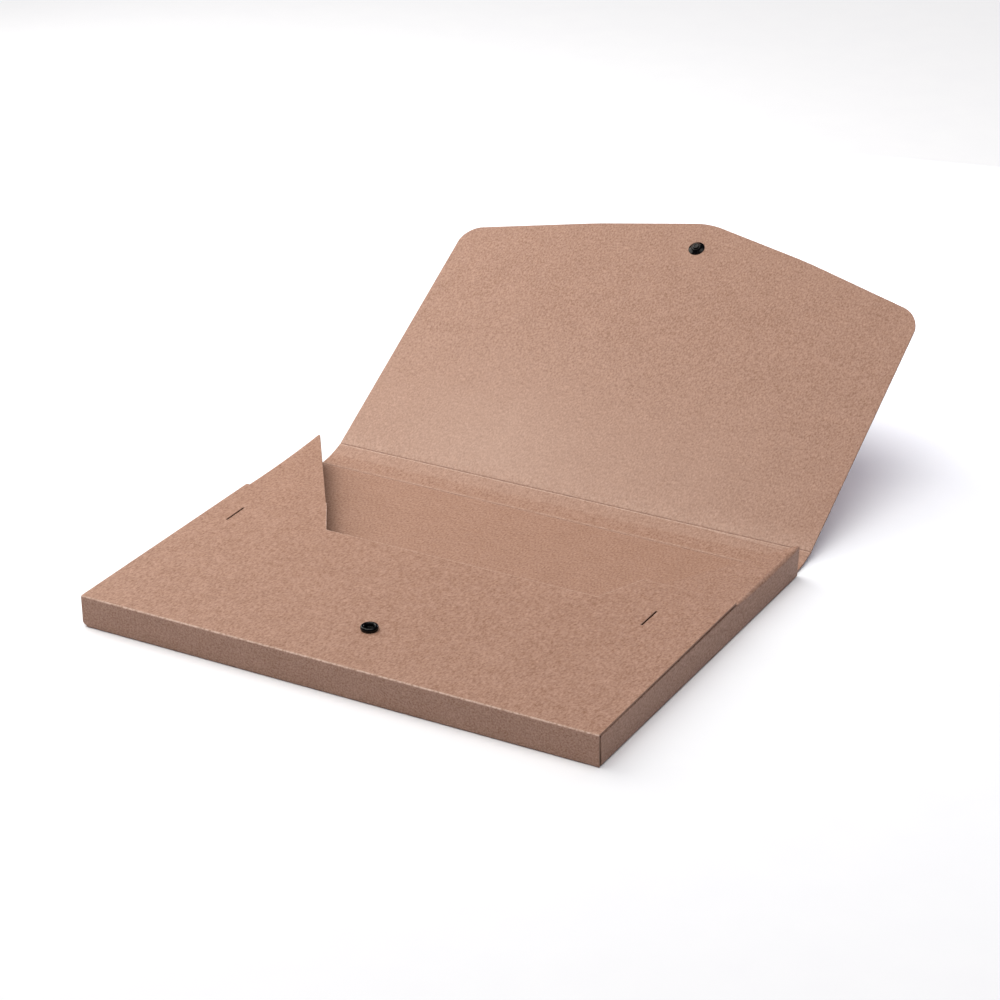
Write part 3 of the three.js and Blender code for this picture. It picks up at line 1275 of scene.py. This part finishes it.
@dataclass
class SnapFastener:
    """Plastic snap: a socket on the front panel and a stud on the flap, each riveted to a domed cap.

    Its profiles start and end on the axis, and their heights are from the card.
    """

    tray: TrayPlan
    lid: LidPlan
    sides: int = 72
    round_steps: int = 5
    socket: tuple[Ring, ...] = (
        Ring(0.0, 0.0),
        # Undercut foot, belly and rounded rim
        Ring(4.8, 0.0, 0.1), Ring(4.8, 0.4, 0.1),
        Ring(5.15, 0.75, 0.25), Ring(5.15, 1.7, 0.4), Ring(4.7, 2.6, 0.45),
        # Funnel mouth, and the flattened head of the rivet in it
        Ring(3.4, 2.6, 0.3), Ring(2.7, 1.7, 0.2), Ring(2.4, 0.55, 0.1),
        Ring(1.5, 0.55, 0.05), Ring(1.35, 0.75, 0.1), Ring(0.0, 0.8),
    )
    stud: tuple[Ring, ...] = (
        Ring(0.0, 0.0),
        # Flange, steep collar and shoulder
        Ring(5.3, 0.0, 0.15), Ring(5.3, 0.25, 0.12), Ring(3.35, 1.3, 0.3), Ring(2.7, 2.05, 0.2),
        # Neck, and a ball with a hollow tip
        Ring(1.8, 2.1, 0.08), Ring(1.8, 2.25, 0.06), Ring(2.25, 2.55, 0.15), Ring(1.98, 3.1, 0.3),
        Ring(1.0125, 3.1, 0.1), Ring(0.7875, 2.75, 0.1), Ring(0.0, 2.7),
    )
    cap: tuple[Ring, ...] = (
        Ring(0.0, 0.0),
        # Rounded edge and dome
        Ring(6.0, 0.0, 0.12), Ring(6.0, 0.5, 0.3), Ring(4.32, 1.16, 1.2), Ring(2.16, 1.421, 0.9),
        # Gate mark of the mould
        Ring(0.7, 1.45, 0.1), Ring(0.56, 1.33, 0.05), Ring(0.0, 1.33),
    )

    @property
    def socket_place(self) -> Vector:
        """The socket's seat on the front panel."""
        low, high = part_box("snap_socket")
        return Vector((*((low + high) / 2).xy, self.tray.top))

    @property
    def stud_along(self) -> float:
        """The stud's distance from the upper crease, which brings it over the socket when closed."""
        return self.lid.lower.y - self.socket_place.y

    def build(self, finishes: Finishes) -> list[Object]:
        """Builds both halves and their caps.

        Args:
            finishes: the materials.

        Returns:
            The four pieces, riding on the case and the flap.
        """
        behind = Matrix.Translation((0.0, 0.0, -self.tray.card)) @ Matrix.Rotation(math.pi, 4, "X")
        case_place = Matrix.Translation(self.socket_place)
        flap_place = self.lid.flap_place(self.stud_along)
        jobs = (
            ("socket_ring", self.socket, case_place, Body.CASE, "snap_socket"),
            ("socket_rivet_cap", self.cap, case_place @ behind, Body.CASE, "socket_cap"),
            ("stud_post", self.stud, flap_place, Body.FLAP, "snap_stud"),
            ("stud_rivet_cap", self.cap, flap_place @ behind, Body.FLAP, "stud_cap"),
        )
        pieces = []
        for name, profile, place, body, node in jobs:
            mesh = self._turned(profile)
            bmesh.ops.transform(mesh, matrix=place, verts=mesh.verts)
            piece = make_object(name, mesh, (finishes.plastic,))
            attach(piece, body.value)
            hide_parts(node)
            pieces.append(piece)
        return pieces

    def _turned(self, profile: Sequence[Ring]) -> BMesh:
        """Spins a profile about Z.

        Args:
            profile: the profile's corners, from the axis and back to it.

        Returns:
            The closed shape.
        """
        mesh = bmesh.new()
        verts = [mesh.verts.new((ring.radius * MM, 0.0, ring.height * MM)) for ring in profile]
        for pair in zip(verts, verts[1:]):
            mesh.edges.new(pair)
        for ring, vert in zip(profile, verts):
            if ring.rounding:
                round_off(mesh, vert, ring.rounding * MM, self.round_steps)
        bmesh.ops.spin(
            mesh, geom=list(mesh.edges), cent=(0.0, 0.0, 0.0), axis=(0.0, 0.0, 1.0),
            angle=2 * math.pi, steps=self.sides, use_merge=True,
        )
        bmesh.ops.remove_doubles(mesh, verts=mesh.verts, dist=MERGE)
        bmesh.ops.recalc_face_normals(mesh, faces=mesh.faces)
        for face in mesh.faces:
            face.smooth = True
        return mesh


@dataclass(frozen=True)
class StudioLight:
    """One studio light, which faces a point. A sun's size is its angle."""

    name: str
    lamp: Lamp
    place: tuple[float, float, float]
    target: tuple[float, float, float]
    size: float
    power: float
    colour: str

    def build(self) -> None:
        """Hangs the light."""
        data = bpy.data.lights.new(self.name, self.lamp.value)
        setattr(data, "angle" if self.lamp is Lamp.SUN else "size", self.size)
        data.energy = self.power
        data.color = linear(self.colour)[:3]
        light = bpy.data.objects.new(self.name, data)
        place = Vector(self.place)
        light.location = place
        light.rotation_euler = (Vector(self.target) - place).to_track_quat("-Z", "Y").to_euler()
        bpy.context.scene.collection.objects.link(light)


@dataclass
class Studio:
    """Pale floor, soft light and the camera at the photograph's view."""

    floor_half_size: float = 40.0
    floor_drop: float = 0.05 * MM
    lights: tuple[StudioLight, ...] = (
        # Wide key light, almost straight above
        StudioLight(
            "key_light", Lamp.SUN, place=(-0.04, -0.12, 1.0), target=(0.0, 0.0, 0.0),
            size=math.radians(60), power=2.7, colour="#fff9f2",
        ),
        StudioLight(
            "side_light", Lamp.SOFTBOX, place=(-0.7, 0.16, 0.6), target=(0.0, 0.12, 0.0),
            size=0.9, power=7.2, colour="#fffaf2",
        ),
        StudioLight(
            "back_light", Lamp.SOFTBOX, place=(0.1, 0.8, 0.16), target=(0.2, 0.3, 0.0),
            size=0.3, power=2.6, colour="#e9efff",
        ),
    )
    sky: str = "#cfdcff"
    sky_strength: float = 0.05
    lens: float = 109.87
    sensor: float = 36.0
    azimuth: float = math.radians(30.004)
    elevation: float = math.radians(25.811)
    roll: float = math.radians(-0.9145)
    camera_place: tuple[float, float, float] = (0.80143, -1.32278, 0.81139)

    def build(self) -> None:
        """Builds floor, lights and camera, and the plain view transform."""
        self._floor()
        for light in self.lights:
            light.build()
        self._sky()
        self._camera()
        bpy.context.scene.view_settings.view_transform = "Standard"

    def _floor(self) -> None:
        """Lays the floor just under the case."""
        mesh = bmesh.new()
        under = Matrix.Translation((0.0, 0.0, -self.floor_drop))
        bmesh.ops.create_grid(mesh, x_segments=1, y_segments=1, size=self.floor_half_size, matrix=under)
        make_object("floor", mesh, (SeamlessPaper().material(),))

    def _sky(self) -> None:
        """Fills the room with even light."""
        world = bpy.data.worlds.new("room")
        world.use_nodes = True
        even = {"Color": linear(self.sky), "Strength": self.sky_strength}
        set_sockets(world.node_tree, world.node_tree.nodes["Background"], even)
        bpy.context.scene.world = world

    def _camera(self) -> None:
        """Stands the camera at the photograph's view."""
        data = bpy.data.cameras.new("camera")
        data.lens = self.lens
        data.sensor_width = self.sensor
        camera = bpy.data.objects.new("camera", data)
        turn = (
            Matrix.Rotation(self.azimuth, 4, "Z")
            @ Matrix.Rotation(math.pi / 2 - self.elevation, 4, "X")
            @ Matrix.Rotation(self.roll, 4, "Z")
        )
        camera.matrix_world = Matrix.Translation(self.camera_place) @ turn
        bpy.context.scene.collection.objects.link(camera)
        bpy.context.scene.camera = camera


def main() -> None:
    """Builds every sub-assembly in order and reports its pieces."""
    logging.basicConfig(level=logging.INFO, format="%(name)s: %(message)s")
    tray, lid = TrayPlan.from_frame(), LidPlan.from_frame()
    finishes = Finishes.make()
    snap = SnapFastener(tray, lid)
    left_fold = SideFold(
        tray, Hand.LEFT, diagonal_run=79 * MM, inner_inset=0.8 * MM, tip_lean=1.7 * MM, tip_rise=2.3 * MM,
        cover_lean=0.0, corner_gap=0.0, front_recess=1.3 * MM,
    )
    right_fold = SideFold(
        tray, Hand.RIGHT, diagonal_run=90 * MM, inner_inset=0.0, tip_lean=-1.0 * MM, tip_rise=1.6 * MM,
        cover_lean=1.4 * MM, corner_gap=0.8 * MM, front_recess=1.9 * MM,
    )
    pieces = [
        FoldedWrap(tray, lid).build(finishes, snap.socket_place),
        left_fold.build(finishes),
        right_fold.build(finishes),
        SpineCard(tray, lid, Crease()).build(finishes),
        FlapCard(tray, lid, Crease(lip_wear_and_highlight=0.5, near_wear_and_highlight=0.9)).build(finishes, snap.stud_along),
        *snap.build(finishes),
    ]
    for piece in pieces:
        LOG.info("%s: %d faces", piece.name, len(piece.data.polygons))
    Studio().build()


if __name__ == "__main__":
    main()
